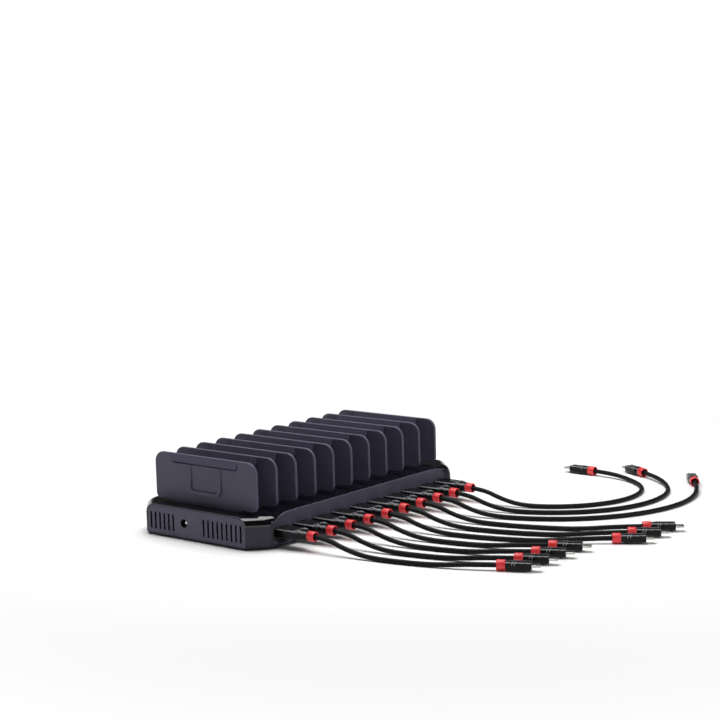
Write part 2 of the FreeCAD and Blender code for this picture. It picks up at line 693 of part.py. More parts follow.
save("case_screws", [make_screw(x, y, screw_seat, -1, case_screw_head, case_screw_head_height,
                                case_screw_shank, case_screw_length) for x, y in posts])
save("board_screws", [make_screw(x, y, z_board, 1, board_screw_head, board_screw_head_height,
                                 board_screw_shank, board_screw_length) for x, y in board_screw_places])
for number, y in enumerate(divider_places, 1):
    divider = make_divider()
    divider.translate(V(0, y, 0))
    save("divider_%02d" % number, [divider])
for number, (y, route) in enumerate(zip(port_places, lead_routes), 1):
    save_lead(number, y, route)
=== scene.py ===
import math
import bpy
from mathutils import Matrix, Vector


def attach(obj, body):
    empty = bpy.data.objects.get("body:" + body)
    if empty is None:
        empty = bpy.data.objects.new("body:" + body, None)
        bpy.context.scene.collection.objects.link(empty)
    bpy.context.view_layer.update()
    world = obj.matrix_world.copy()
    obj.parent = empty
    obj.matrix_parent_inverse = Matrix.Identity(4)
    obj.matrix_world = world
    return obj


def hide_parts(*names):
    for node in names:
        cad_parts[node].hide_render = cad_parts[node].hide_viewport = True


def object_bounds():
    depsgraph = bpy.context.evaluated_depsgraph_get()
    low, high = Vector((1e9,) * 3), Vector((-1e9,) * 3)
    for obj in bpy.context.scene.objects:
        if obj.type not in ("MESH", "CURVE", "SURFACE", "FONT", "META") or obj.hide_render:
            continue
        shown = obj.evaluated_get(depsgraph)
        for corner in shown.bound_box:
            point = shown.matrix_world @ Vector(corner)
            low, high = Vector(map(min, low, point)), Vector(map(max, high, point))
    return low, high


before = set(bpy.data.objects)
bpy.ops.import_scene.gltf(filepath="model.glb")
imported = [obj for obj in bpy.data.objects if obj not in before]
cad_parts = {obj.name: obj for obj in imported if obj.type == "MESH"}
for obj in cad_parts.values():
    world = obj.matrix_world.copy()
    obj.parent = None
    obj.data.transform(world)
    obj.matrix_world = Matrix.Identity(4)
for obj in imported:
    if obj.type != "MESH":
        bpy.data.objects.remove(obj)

cad_low, cad_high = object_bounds()

# Bottom shell: the tub that the housing is built on, moulded in charcoal ABS with a lip inside its rim
# that keys into the cover. It stands on four feet and is screwed up into the cover's posts.
MM = 0.001
# The numbers of a colour mix's sockets: its share, its two colours, and what comes out.
MIX_SHARE, MIX_FIRST, MIX_SECOND, MIXED = 0, 6, 7, 2


def linear(hex_colour):
    """sRGB hex, as a colour is read off a swatch, turned to the linear values that shaders take."""
    parts = [int(hex_colour[i:i + 2], 16) / 255 for i in (1, 3, 5)]
    return [c / 12.92 if c <= 0.04045 else ((c + 0.055) / 1.055) ** 2.4 for c in parts] + [1.0]


def per_metre(size_mm):
    """How many features of this size, in millimetres, lie along one metre."""
    return 1.0 / (size_mm * MM)


def set_inputs(owner, node, inputs):
    """Sets a node's inputs. Each is a value, or another node's output that is linked to it."""
    for name, value in inputs.items():
        if isinstance(value, bpy.types.NodeSocket):
            owner.node_tree.links.new(value, node.inputs[name])
        else:
            node.inputs[name].default_value = value


def add_node(owner, kind, inputs, **settings):
    """Adds one node to a material or the world, with its settings and its inputs."""
    node = owner.node_tree.nodes.new(kind)
    for name, value in settings.items():
        setattr(node, name, value)
    set_inputs(owner, node, inputs)
    return node


def new_material(name, inputs):
    """A material with one principled shader, and that shader, whose plain inputs are set here."""
    material = bpy.data.materials.new(name)
    material.use_nodes = True
    shader = material.node_tree.nodes["Principled BSDF"]
    set_inputs(material, shader, inputs)
    return material, shader


def moulded_abs(name, colour, pale, grain_mm, grain_depth_mm, rough_low, rough_high, edge_mm=0.35):
    """ABS from a spark-eroded tool: an even grain breaks the gloss to a soft satin, a broad and very faint
    change of tone follows the flow of the plastic, and the edges round over into a thin light line. The
    real grain is finer, and is drawn just coarse enough to show."""
    flow_mm, speck_share = 28, 0.16
    material, shader = new_material(name, {"IOR": 1.46})
    place = add_node(material, "ShaderNodeTexCoord", {}).outputs["Object"]
    flow = add_node(material, "ShaderNodeTexNoise",
                    {"Vector": place, "Scale": per_metre(flow_mm), "Detail": 2.0})
    grain = add_node(material, "ShaderNodeTexNoise",
                     {"Vector": place, "Scale": per_metre(grain_mm), "Detail": 3.0, "Roughness": 0.6})
    tone = add_node(material, "ShaderNodeMix",
                    {MIX_SHARE: flow.outputs["Fac"], MIX_FIRST: linear(colour), MIX_SECOND: linear(pale)},
                    data_type="RGBA")
    speck = add_node(material, "ShaderNodeMix",
                     {MIX_SHARE: speck_share, MIX_FIRST: tone.outputs[MIXED],
                      MIX_SECOND: grain.outputs["Color"]},
                     data_type="RGBA", blend_type="SOFT_LIGHT")
    rough = add_node(material, "ShaderNodeMapRange",
                     {"Value": grain.outputs["Fac"], "To Min": rough_low, "To Max": rough_high})
    edge = add_node(material, "ShaderNodeBevel", {"Radius": edge_mm * MM}, samples=6)
    bump = add_node(material, "ShaderNodeBump",
                    {"Height": grain.outputs["Fac"], "Normal": edge.outputs["Normal"], "Strength": 0.6,
                     "Distance": grain_depth_mm * MM})
    set_inputs(material, shader, {"Base Color": speck.outputs[MIXED], "Roughness": rough.outputs["Result"],
                                  "Normal": bump.outputs["Normal"]})
    return material


def dress(material, *nodes):
    """Gives CAD nodes this material."""
    for name in nodes:
        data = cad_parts[name].data
        data.materials.clear()
        data.materials.append(material)


tub_abs = moulded_abs("satin_charcoal_abs", "#1a172c", "#1e1b31", grain_mm=0.5, grain_depth_mm=0.03,
                      rough_low=0.42, rough_high=0.56)
dress(tub_abs, "bottom_shell")

# Feet: four discs of soft black rubber, glued into shallow pockets under the tub, so that the housing
# doesn't slide when a plug is pushed in.


def soft_rubber(name, colour, pale):
    """Moulded rubber: dull, with a dusty bloom that comes and goes over a few millimetres."""
    bloom_mm = 3.5
    material, shader = new_material(name, {"IOR": 1.5, "Roughness": 0.85})
    place = add_node(material, "ShaderNodeTexCoord", {}).outputs["Object"]
    bloom = add_node(material, "ShaderNodeTexNoise",
                     {"Vector": place, "Scale": per_metre(bloom_mm), "Detail": 5.0})
    tone = add_node(material, "ShaderNodeMix",
                    {MIX_SHARE: bloom.outputs["Fac"], MIX_FIRST: linear(colour), MIX_SECOND: linear(pale)},
                    data_type="RGBA")
    set_inputs(material, shader, {"Base Color": tone.outputs[MIXED]})
    return material


dress(soft_rubber("glued_rubber", "#1a1a1a", "#2c2b2a"), "rubber_feet")

# Circuit board: glass-epoxy laminate under green solder mask, with a charger chip, an inductor and a
# filter capacitor for each socket, and one finned aluminium bar that cools all ten chips. Zinc-plated
# screws hold the board to the tub, and the tub to the cover.


def solder_mask(name):
    """Green lacquer over etched copper: smooth and shiny, a little paler where tracks run under it."""
    material, shader = new_material(name, {"IOR": 1.52, "Roughness": 0.28})
    place = add_node(material, "ShaderNodeTexCoord", {}).outputs["Object"]
    tracks = add_node(material, "ShaderNodeTexBrick",
                      {"Vector": place, "Scale": 1.0, "Mortar Size": 0.35 * MM, "Brick Width": 11.5 * MM,
                       "Row Height": 2.6 * MM, "Color1": linear("#14452b"), "Color2": linear("#123f27"),
                       "Mortar": linear("#2a6b45")})
    set_inputs(material, shader, {"Base Color": tracks.outputs["Color"]})
    return material


def speckled(name, colour, pale, fleck_mm, inputs):
    """A plain dense body, such as moulded epoxy, sintered ferrite or bare metal, with a fine fleck in it."""
    material, shader = new_material(name, inputs)
    place = add_node(material, "ShaderNodeTexCoord", {}).outputs["Object"]
    fleck = add_node(material, "ShaderNodeTexNoise",
                     {"Vector": place, "Scale": per_metre(fleck_mm), "Detail": 4.0})
    tone = add_node(material, "ShaderNodeMix",
                    {MIX_SHARE: fleck.outputs["Fac"], MIX_FIRST: linear(colour), MIX_SECOND: linear(pale)},
                    data_type="RGBA")
    bump = add_node(material, "ShaderNodeBump",
                    {"Height": fleck.outputs["Fac"], "Strength": 0.25, "Distance": 0.02 * MM})
    set_inputs(material, shader, {"Base Color": tone.outputs[MIXED], "Normal": bump.outputs["Normal"]})
    return material


chip_epoxy = speckled("moulded_epoxy", "#17181a", "#222426", 0.4, {"Roughness": 0.5, "IOR": 1.55})
core_ferrite = speckled("sintered_ferrite", "#2a2a2c", "#3a3a3d", 0.6, {"Roughness": 0.62, "IOR": 1.6})
sleeved_can = speckled("sleeved_aluminium_can", "#1c2433", "#263044", 1.2, {"Roughness": 0.35, "IOR": 1.5})
bar_alloy = speckled("extruded_aluminium", "#c3c6c9", "#d3d5d8", 0.5, {"Roughness": 0.34, "Metallic": 1.0})
zinc_steel = speckled("zinc_plated_steel", "#a9adb2", "#c6c9cc", 0.7, {"Roughness": 0.3, "Metallic": 1.0})
dress(solder_mask("solder_masked_laminate"), "circuit_board")
dress(chip_epoxy, "charger_chips")
dress(core_ferrite, "power_inductors")
dress(sleeved_can, "filter_capacitors")
dress(bar_alloy, "heat_sink")
dress(zinc_steel, "board_screws", "case_screws")

# Sockets: ten USB-A receptacles soldered along the board's right edge. Each is a folded and nickel-plated
# steel shell round a white insulating tongue that carries the contacts.


def rolled_nickel(name, colour, pale):
    """Nickel over rolled metal: a warm grey mirror drawn out in faint streaks along the sheet or rod."""
    streak_mm, along_share = 0.35, 0.08
    material, shader = new_material(name, {"Metallic": 1.0})
    place = add_node(material, "ShaderNodeTexCoord", {}).outputs["Object"]
    along = add_node(material, "ShaderNodeMapping", {"Vector": place, "Scale": (along_share, 1.0, 1.0)})
    streak = add_node(material, "ShaderNodeTexNoise",
                      {"Vector": along.outputs["Vector"], "Scale": per_metre(streak_mm), "Detail": 4.0})
    tone = add_node(material, "ShaderNodeMix",
                    {MIX_SHARE: streak.outputs["Fac"], MIX_FIRST: linear(colour), MIX_SECOND: linear(pale)},
                    data_type="RGBA")
    rough = add_node(material, "ShaderNodeMapRange",
                     {"Value": streak.outputs["Fac"], "To Min": 0.16, "To Max": 0.34})
    set_inputs(material, shader, {"Base Color": tone.outputs[MIXED], "Roughness": rough.outputs["Result"]})
    return material


nickel = rolled_nickel("nickel_plated_steel", "#b4b2ac", "#cfcdc8")
dress(nickel, "usb_socket_shells")
white_nylon = speckled("white_nylon", "#d9d7d0", "#e6e4de", 0.8, {"Roughness": 0.45, "IOR": 1.53})
dress(white_nylon, "usb_socket_tongues")

# Power jack: a block moulded in black nylon and soldered to the board behind the front plate, with a round
# bore, and a bright nickel-plated pin in its middle.
jack_nylon = speckled("moulded_black_nylon", "#101012", "#17171a", 0.5, {"Roughness": 0.38, "IOR": 1.53})
dress(jack_nylon, "dc_jack_body")
dress(rolled_nickel("nickel_plated_brass", "#cbc6ba", "#e2ded4"), "dc_jack_pin")

# End plates and port panel: charcoal ABS, moulded apart from the shells and pressed into them. The front
# plate has the vents and the jack's hole, the rear one vents only, and the panel closes the recess.
CHARCOAL, PALE_CHARCOAL = "#4c4a5f", "#535166"
charcoal_grain = {"grain_mm": 0.45, "grain_depth_mm": 0.035, "rough_low": 0.5, "rough_high": 0.64}


def paint_shade(material, mask, shade):
    """Mixes a darker tone into a material's colour where the mask is one, as painted shade."""
    shader = material.node_tree.nodes["Principled BSDF"]
    plain = shader.inputs["Base Color"].links[0].from_socket
    tone = add_node(material, "ShaderNodeMix",
                    {MIX_SHARE: mask, MIX_FIRST: plain, MIX_SECOND: linear(shade)}, data_type="RGBA")
    set_inputs(material, shader, {"Base Color": tone.outputs[MIXED]})


def paint_shade_in_vents(material, shade):
    """Paints shade on the faces of an end plate that look neither forward nor back: the walls of its vents
    are painted near black, as shadow.
    """
    least_forward = 0.5
    spot = add_node(material, "ShaderNodeTexCoord", {})
    facing = add_node(material, "ShaderNodeSeparateXYZ", {"Vector": spot.outputs["Normal"]})
    forward = add_node(material, "ShaderNodeMath", {0: facing.outputs["Y"]}, operation="ABSOLUTE")
    vent_wall_shade = add_node(material, "ShaderNodeMath", {0: forward.outputs[0], 1: least_forward},
                    operation="LESS_THAN")
    paint_shade(material, vent_wall_shade.outputs[0], shade)


def paint_shade_on_rim(material, shade, beyond_mm, above_mm):
    """Paints shade on the faces that look straight out beyond a place along X and above a height: the upper
    part of the rim is painted dark, as the shadow of the joint between the panel and the shells."""
    least_outward = 0.7
    spot = add_node(material, "ShaderNodeTexCoord", {})
    place = add_node(material, "ShaderNodeSeparateXYZ", {"Vector": spot.outputs["Object"]})
    facing = add_node(material, "ShaderNodeSeparateXYZ", {"Vector": spot.outputs["Normal"]})
    outside = add_node(material, "ShaderNodeMath", {0: place.outputs["X"], 1: beyond_mm * MM},
                       operation="GREATER_THAN")
    upper = add_node(material, "ShaderNodeMath", {0: place.outputs["Z"], 1: above_mm * MM},
                     operation="GREATER_THAN")
    outward = add_node(material, "ShaderNodeMath", {0: facing.outputs["X"], 1: least_outward},
                       operation="GREATER_THAN")
    flat = add_node(material, "ShaderNodeMath", {0: outside.outputs[0], 1: outward.outputs[0]},
                    operation="MULTIPLY")
    rim_shade = add_node(material, "ShaderNodeMath", {0: flat.outputs[0], 1: upper.outputs[0]},
                   operation="MULTIPLY")
    paint_shade(material, rim_shade.outputs[0], shade)


plate_abs = moulded_abs("vented_charcoal_abs_painted_shade", CHARCOAL, PALE_CHARCOAL, **charcoal_grain)
# The walls of the vents are painted near black: painted shade, not a colour of the plastic.
paint_shade_in_vents(plate_abs, "#08080b")
dress(plate_abs, "front_vent_plate", "rear_vent_plate")
panel_abs = moulded_abs("sharp_edged_charcoal_abs_painted_shade", "#4c4a5c", "#535163", edge_mm=0.06, **charcoal_grain)
# The upper rim of the panel is painted dark: painted shade of the joint, with the lower lip left plain.
paint_shade_on_rim(panel_abs, "#121118", beyond_mm=66.0, above_mm=6.5)
dress(panel_abs, "port_panel")

# Cover: the housing's top shell in black ABS from a polished tool, with a rounded edge along both sides
# that ends at the seam, and slots for the dividers' tabs.


def polished_abs(name, colour):
    """ABS from a mirror-polished tool: a deep black mirror, broken only by a haze of wiping marks and by
    the slow waves that the plastic sets with over its ribs."""
    wave_mm, haze_mm, along_share, edge_mm = 32, 1.6, 0.12, 0.3
    material, shader = new_material(name, {"Base Color": linear(colour), "IOR": 1.65})
    place = add_node(material, "ShaderNodeTexCoord", {}).outputs["Object"]
    wave = add_node(material, "ShaderNodeTexNoise",
                    {"Vector": place, "Scale": per_metre(wave_mm), "Detail": 1.0})
    wiped = add_node(material, "ShaderNodeMapping", {"Vector": place, "Scale": (along_share, 1.0, 1.0)})
    haze = add_node(material, "ShaderNodeTexNoise",
                    {"Vector": wiped.outputs["Vector"], "Scale": per_metre(haze_mm), "Detail": 6.0})
    rough = add_node(material, "ShaderNodeMapRange",
                     {"Value": haze.outputs["Fac"], "To Min": 0.04, "To Max": 0.12})
    edge = add_node(material, "ShaderNodeBevel", {"Radius": edge_mm * MM}, samples=6)
    bump = add_node(material, "ShaderNodeBump",
                    {"Height": wave.outputs["Fac"], "Normal": edge.outputs["Normal"], "Strength": 0.12,
                     "Distance": 0.4 * MM})
    set_inputs(material, shader, {"Roughness": rough.outputs["Result"], "Normal": bump.outputs["Normal"]})
    return material


dress(polished_abs("polished_black_abs", "#09090d"), "top_shell")

# Dividers: eleven lift-out plates of the same charcoal ABS, each with two tabs that drop into slots in the
# cover. On its front a plate has a raised band near the top, which swells to its lower edge over a narrow
# groove, and a raised U.
divider_abs = moulded_abs("spark_eroded_charcoal_abs", CHARCOAL, PALE_CHARCOAL, **charcoal_grain)
divider_names = sorted(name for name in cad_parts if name.startswith("divider_"))
dress(divider_abs, *divider_names)

# Leads, cords: round PVC cord from each USB plug to its slim device plug, lying out on the table to the
# right. Every route is listed once, as X, Y from the socket and Z in millimetres, for the leads that share
# it, and each lead has its route and its length in metres.
CORD_DIAMETER = 3.8 * MM
FIRST_PORT, PORT_PITCH, PORT_Z = -103.5, 23.0, 11.9
way_out = [(94.1, 0, PORT_Z), (111, 0, PORT_Z), (130, 0.5, 5.6)]
short_route = way_out + [(149, 1.8, 2.2), (175, 5, 2.0), (203, 12, 2.0), (230, 22.5, 4.2), (251, 33.5, 4.2)]
middle_route = way_out + [(149, 2, 2.2), (176, 6, 2.0), (205, 14, 2.0), (233, 26, 2.0), (259, 41.5, 4.2),
                          (279, 56, 4.2)]
long_outer_route = way_out + [(149, 2.5, 2.2), (178, 11, 2.0), (207, 27, 2.0), (232, 52, 2.0), (249, 84, 2.0),
                              (256, 119, 2.0), (253, 152, 2.0), (241, 182, 4.2), (226, 203, 4.2)]
long_mid_route = way_out + [(149, 2.5, 2.2), (176, 12, 2.0), (203, 31, 2.0), (223, 59, 2.0), (232, 92, 2.0),
                            (229, 126, 2.0), (214, 157, 2.0), (189, 179, 4.2), (167, 190, 4.2)]
long_inner_route = way_out + [(149, 2.5, 2.2), (174, 13, 2.0), (195, 33, 2.0), (208, 60, 2.0), (209, 90, 2.0),
                              (198, 118, 2.0), (176, 138, 2.0), (149, 147, 4.2), (125, 148, 4.2)]
leads = [(short_route, 0.164)] * 4 + [(middle_route, 0.199)] * 3
leads += [(long_outer_route, 0.317), (long_mid_route, 0.311), (long_inner_route, 0.282)]


def port_y(number):
    """A socket's place along the panel, by its number from the front."""
    return FIRST_PORT + PORT_PITCH * (number - 1)


def extruded_pvc(name, colour, pale):
    """PVC drawn through a die: smooth and slightly waxy, with faint flats and a soft sheen along its back."""
    flat_mm = 2.2
    material, shader = new_material(name, {"IOR": 1.53, "Specular IOR Level": 0.12})
    place = add_node(material, "ShaderNodeTexCoord", {}).outputs["Object"]
    drawn = add_node(material, "ShaderNodeTexNoise",
                     {"Vector": place, "Scale": per_metre(flat_mm), "Detail": 4.0})
    tone = add_node(material, "ShaderNodeMix",
                    {MIX_SHARE: drawn.outputs["Fac"], MIX_FIRST: linear(colour), MIX_SECOND: linear(pale)},
                    data_type="RGBA")
    rough = add_node(material, "ShaderNodeMapRange",
                     {"Value": drawn.outputs["Fac"], "To Min": 0.46, "To Max": 0.6})
    bump = add_node(material, "ShaderNodeBump",
                    {"Height": drawn.outputs["Fac"], "Strength": 0.3, "Distance": 0.05 * MM})
    set_inputs(material, shader, {"Base Color": tone.outputs[MIXED], "Roughness": rough.outputs["Result"],
                                  "Normal": bump.outputs["Normal"]})
    return material


cord_pvc = extruded_pvc("extruded_black_pvc", "#121214", "#171719")
cords = []
for number, (route, _) in enumerate(leads, 1):
    curve = bpy.data.curves.new("usb_lead_%02d_jacket" % number, "CURVE")
    curve.dimensions = "3D"
    curve.bevel_depth = CORD_DIAMETER / 2
    curve.bevel_resolution = 7
    curve.resolution_u = 16
    curve.use_fill_caps = True
    spline = curve.splines.new("NURBS")
    spline.points.add(len(route) - 1)
    for point, (x, y, z) in zip(spline.points, route):
        point.co = (x * MM, (port_y(number) + y) * MM, z * MM, 1.0)
    spline.order_u = 3
    spline.use_endpoint_u = True
    curve.materials.append(cord_pvc)
    jacket = bpy.data.objects.new(curve.name, curve)
    bpy.context.scene.collection.objects.link(jacket)
    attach(jacket, "usb_lead_%02d" % number)
    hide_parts("usb_lead_%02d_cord" % number)
    cords.append(jacket)

# Leads, USB plugs: each overmould is one soft black PVC moulding with a rounded shoulder, a flat top and a
# waist that draws in to its neck. Two nested ridges run over each edge of the waist, as a finger grip.
# A station is a place along the plug, with half its width and height there, and the radius of its corners.
SHOULDER, NECK = 64.8, 29.3
CORNER_STEPS, BEAD_SIDES = 6, 8
plug_stations = [(0.0, 7.0, 3.0, 1.0), (0.15, 7.35, 3.35, 1.2), (0.45, 7.62, 3.62, 1.35),
                 (0.9, 7.75, 3.75, 1.4), (17.6, 7.75, 3.75, 1.4), (18.8, 7.68, 3.75, 1.4),
                 (20.0, 7.42, 3.75, 1.45), (21.2, 6.95, 3.75, 1.5), (22.4, 6.3, 3.75, 1.6),
                 (23.6, 5.6, 3.75, 1.75), (24.8, 5.0, 3.75, 1.95), (26.0, 4.55, 3.72, 2.2),
                 (27.2, 4.35, 3.7, 2.4), (28.7, 4.3, 3.7, 2.5), (29.1, 4.2, 3.6, 2.5), (29.3, 3.9, 3.3, 2.4)]


def ring(x, half_y, half_z, radius, steps=CORNER_STEPS):
    """A rounded rectangle across the X axis, as a loop of points."""
    loop = []
    for quarter, (y_way, z_way) in enumerate(((1, 1), (-1, 1), (-1, -1), (1, -1))):
        for k in range(steps + 1):
            turn = math.pi / 2 * (quarter + k / steps)
            loop.append((x, y_way * (half_y - radius) + radius * math.cos(turn),
                         z_way * (half_z - radius) + radius * math.sin(turn)))
    return loop


def skin(loops, closed=False):
    """Points and faces of a skin over a row of loops, with flat ends, or closed from last to first."""
    count = len(loops[0])
    points = [point for loop in loops for point in loop]
    faces = []
    for i in range(len(loops) if closed else len(loops) - 1):
        here, there = i * count, (i + 1) % len(loops) * count
        for k in range(count):
            after = (k + 1) % count
            faces.append((here + k, here + after, there + after, there + k))
    if not closed:
        faces += [tuple(reversed(range(count))), tuple(range(len(points) - count, len(points)))]
    return points, faces


def joined(*skins):
    """Several skins as the points and faces of one mesh."""
    points, faces = [], []
    for some_points, some_faces in skins:
        faces += [tuple(len(points) + index for index in face) for face in some_faces]
        points += some_points
    return points, faces


def make_mesh(name, shape, material, wear_and_highlight=()):
    """A mesh in metres from points in millimetres, smooth apart from its real corners, with how worn each
    point is, and how much painted highlight it carries, where that is given."""
    points, faces = shape
    mesh = bpy.data.meshes.new(name)
    mesh.from_pydata([[c * MM for c in point] for point in points], [], faces)
    if wear_and_highlight:
        mesh.attributes.new("worn_and_highlit", "FLOAT", "POINT").data.foreach_set("value", wear_and_highlight)
    mesh.materials.append(material)
    mesh.shade_smooth()
    mesh.set_sharp_from_angle(angle=math.radians(45))
    return mesh


def section_at(stations, x):
    """Half width, half height and corner radius of a stationed body at one place along it."""
    for (x0, *low), (x1, *high) in zip(stations, stations[1:]):
        if x <= x1:
            return [a + (b - a) * (x - x0) / (x1 - x0) for a, b in zip(low, high)]


def on_skin(stations, x, around, side):
    """The point that lies around millimetres from the top's middle line towards one side, and its normal."""
    half_y, half_z, radius = section_at(stations, x)
    flat = half_y - radius
    turn = min(max(around - flat, 0) / radius, math.pi / 2)
    down = max(around - flat - radius * math.pi / 2, 0)
    across = min(around, flat) + radius * math.sin(turn)
    point = Vector((x, side * across, half_z - radius + radius * math.cos(turn) - down))
    return point, Vector((0, side * math.sin(turn), math.cos(turn)))


def ridge(stations, path, side, radius, pieces=9):
    """A half-sunk round bead over a stationed body, through places given along it and around it, that tapers
    off at both ends."""
    end_share = 0.2
    places = [path[0]]
    for (x0, s0), (x1, s1) in zip(path, path[1:]):
        places += [(x0 + (x1 - x0) * k / pieces, s0 + (s1 - s0) * k / pieces) for k in range(1, pieces + 1)]
    spots = [on_skin(stations, x, around, side) for x, around in places]
    last = len(spots) - 1
    turns = [2 * math.pi / BEAD_SIDES * k for k in range(BEAD_SIDES)]
    loops = []
    for i, (point, normal) in enumerate(spots):
        along = (spots[min(i + 1, last)][0] - spots[max(i - 1, 0)][0]).normalized()
        across = normal.cross(along)
        swell = radius * min(1, end_share + i / 2, end_share + (last - i) / 2)
        loops.append([tuple(point + swell * (math.cos(t) * across + math.sin(t) * normal)) for t in turns])
    return skin(loops)


def moulded_pvc(name, colour, rubbed_and_highlit):
    """Soft black PVC from a finely blasted tool: nearly black and a little waxy, with a paler grey along the
    edges and ridges, in small broken patches, that is partly wear from fingers and partly a painted
    highlight. The grain is drawn coarser than the real one, so that it shows."""
    grain_mm, patch_mm = 0.4, 2.5
    material, shader = new_material(name, {"IOR": 1.5, "Specular IOR Level": 0.16})
    place = add_node(material, "ShaderNodeTexCoord", {}).outputs["Object"]
    grain = add_node(material, "ShaderNodeTexNoise",
                     {"Vector": place, "Scale": per_metre(grain_mm), "Detail": 3.0})
    patch = add_node(material, "ShaderNodeTexNoise",
                     {"Vector": place, "Scale": per_metre(patch_mm), "Detail": 4.0})
    wear_and_highlight_map = add_node(material, "ShaderNodeAttribute", {}, attribute_name="worn_and_highlit")
    broken = add_node(material, "ShaderNodeMapRange",
                      {"Value": patch.outputs["Fac"], "From Min": 0.3, "From Max": 0.6, "To Min": 0.35,
                       "To Max": 1.0})
    wear_and_highlight = add_node(material, "ShaderNodeMath", {0: wear_and_highlight_map.outputs["Fac"], 1: broken.outputs["Result"]},
                    operation="MULTIPLY")
    tone = add_node(material, "ShaderNodeMix",
                    {MIX_SHARE: wear_and_highlight.outputs[0], MIX_FIRST: linear(colour), MIX_SECOND: linear(rubbed_and_highlit)},
                    data_type="RGBA")
    rough = add_node(material, "ShaderNodeMapRange",
                     {"Value": grain.outputs["Fac"], "To Min": 0.2, "To Max": 0.32})
    bump = add_node(material, "ShaderNodeBump",
                    {"Height": grain.outputs["Fac"], "Strength": 0.5, "Distance": 0.03 * MM})
    set_inputs(material, shader, {"Base Color": tone.outputs[MIXED], "Roughness": rough.outputs["Result"],
                                  "Normal": bump.outputs["Normal"]})
    return material


def edge_wear_and_highlight(stations):
    """How much wear and painted highlight each point of a stationed body has: most in the middle of its upper
    corners, where light from above falls, and much less in its lower ones."""
    upper_share, lower_share, narrowness = 0.7, 0.15, 4
    corner = [max(math.sin(math.pi * k / CORNER_STEPS), 0.0) ** narrowness for k in range(CORNER_STEPS + 1)]
    upper = [upper_share * wear_and_highlight for wear_and_highlight in corner * 2]
    lower = [lower_share * wear_and_highlight for wear_and_highlight in corner * 2]
    return (upper + lower) * len(stations)


def bead_wear_and_highlight(bead):
    """The same for a ridge, which is worn and painted with a highlight along its crest."""
    points, _ = bead
    return [max(math.sin(2 * math.pi / BEAD_SIDES * (k % BEAD_SIDES)), 0.0) for k in range(len(points))]


def gripped_mesh(name, stations, ridges, material):
    """The mesh of an overmould: its stationed body with its grip ridges, and their wear and painted
    highlight.
    """
    body = joined(skin([ring(*station) for station in stations]), *ridges)
    wear_and_highlight = edge_wear_and_highlight(stations) + [share for bead in ridges for share in bead_wear_and_highlight(bead)]
    return make_mesh(name, body, material, wear_and_highlight)


# The pale grey along the plugs' upper edges and ridge crests is partly wear and partly a painted highlight.
plug_pvc = moulded_pvc("moulded_black_pvc", "#0d0d0f", "#b8b8bb")
PLUG_RIDGE_RADIUS = 0.33
outer_ridge = [(19.9, 8.6), (19.2, 1.5), (26.9, 5.6)]
inner_ridge = [(21.9, 8.0), (21.3, 3.2), (25.6, 5.6)]
plug_ridges = [ridge(plug_stations, path, side, PLUG_RIDGE_RADIUS)
               for path in (outer_ridge, inner_ridge) for side in (-1, 1)]
plug_mesh = gripped_mesh("usb_plug_overmould", plug_stations, plug_ridges, plug_pvc)

# Leads, USB tips: a folded nickel-plated shell in front of each plug, with the white block that carries its
# contacts along the lower half.
USB_LENGTH, USB_HALF_Y, USB_HALF_Z, USB_SHEET, USB_CORNER = 11.75, 6.0, 2.25, 0.3, 0.5
SHELL_FLOOR = -0.3
shell_steps = [(0.0, 0.0), (-USB_LENGTH + 0.2, 0.0), (-USB_LENGTH, 0.1), (-USB_LENGTH, USB_SHEET),
               (SHELL_FLOOR, USB_SHEET)]
shell_loops = [ring(x, USB_HALF_Y - inset, USB_HALF_Z - inset, USB_CORNER - inset, 3)
               for x, inset in shell_steps]
shell_mesh = make_mesh("usb_tip_shell", skin(shell_loops[::-1]), nickel)
CORE_TOP, CORE_HALF_Y, CORE_CORNER = -0.25, 5.65, 0.2
core_half_z = (CORE_TOP + USB_HALF_Z - USB_SHEET) / 2
core_steps = [(-11.6, 0.1), (-11.4, 0.0), (SHELL_FLOOR, 0.0)]
core_loops = [[(x, y, z + CORE_TOP - core_half_z)
               for x, y, z in ring(start, CORE_HALF_Y - inset, core_half_z - inset, CORE_CORNER, 2)]
              for start, inset in core_steps]
core_mesh = make_mesh("usb_tip_insulator", skin(core_loops), white_nylon)

# Leads, device plugs: a slimmer overmould of the same PVC at the far end, with two slanted grip ridges on
# each edge, and a flat nickel-plated tip with rounded edges.
DEVICE_RIDGE_RADIUS = 0.32
device_stations = [(0.0, 3.0, 2.6, 1.6), (0.25, 3.3, 2.9, 1.6), (0.7, 3.4, 3.0, 1.5), (1.8, 3.6, 3.0, 1.4),
                   (3.0, 4.0, 3.0, 1.3), (4.4, 4.25, 3.0, 1.3), (6.0, 4.3, 3.0, 1.3), (18.2, 4.3, 3.0, 1.3),
                   (18.6, 4.2, 2.9, 1.2), (18.9, 3.95, 2.65, 1.1), (19.0, 3.6, 2.3, 0.9)]
device_ridges = [ridge(device_stations, [(start, 6.2), (start + 1.6, 1.2)], side, DEVICE_RIDGE_RADIUS)
                 for start in (4.6, 6.6) for side in (-1, 1)]
device_mesh = gripped_mesh("device_plug_overmould", device_stations, device_ridges, plug_pvc)
TIP_HALF_Y, TIP_HALF_Z, TIP_CORNER = 3.3, 0.8, 0.55
tip_steps = [(19.0, 0.0), (25.1, 0.0), (25.5, 0.12), (25.7, 0.35)]
tip_loops = [ring(x, TIP_HALF_Y - inset, TIP_HALF_Z - inset, TIP_CORNER - inset / 2, 4)
             for x, inset in tip_steps]
tip_mesh = make_mesh("device_plug_tip", skin(tip_loops), nickel)

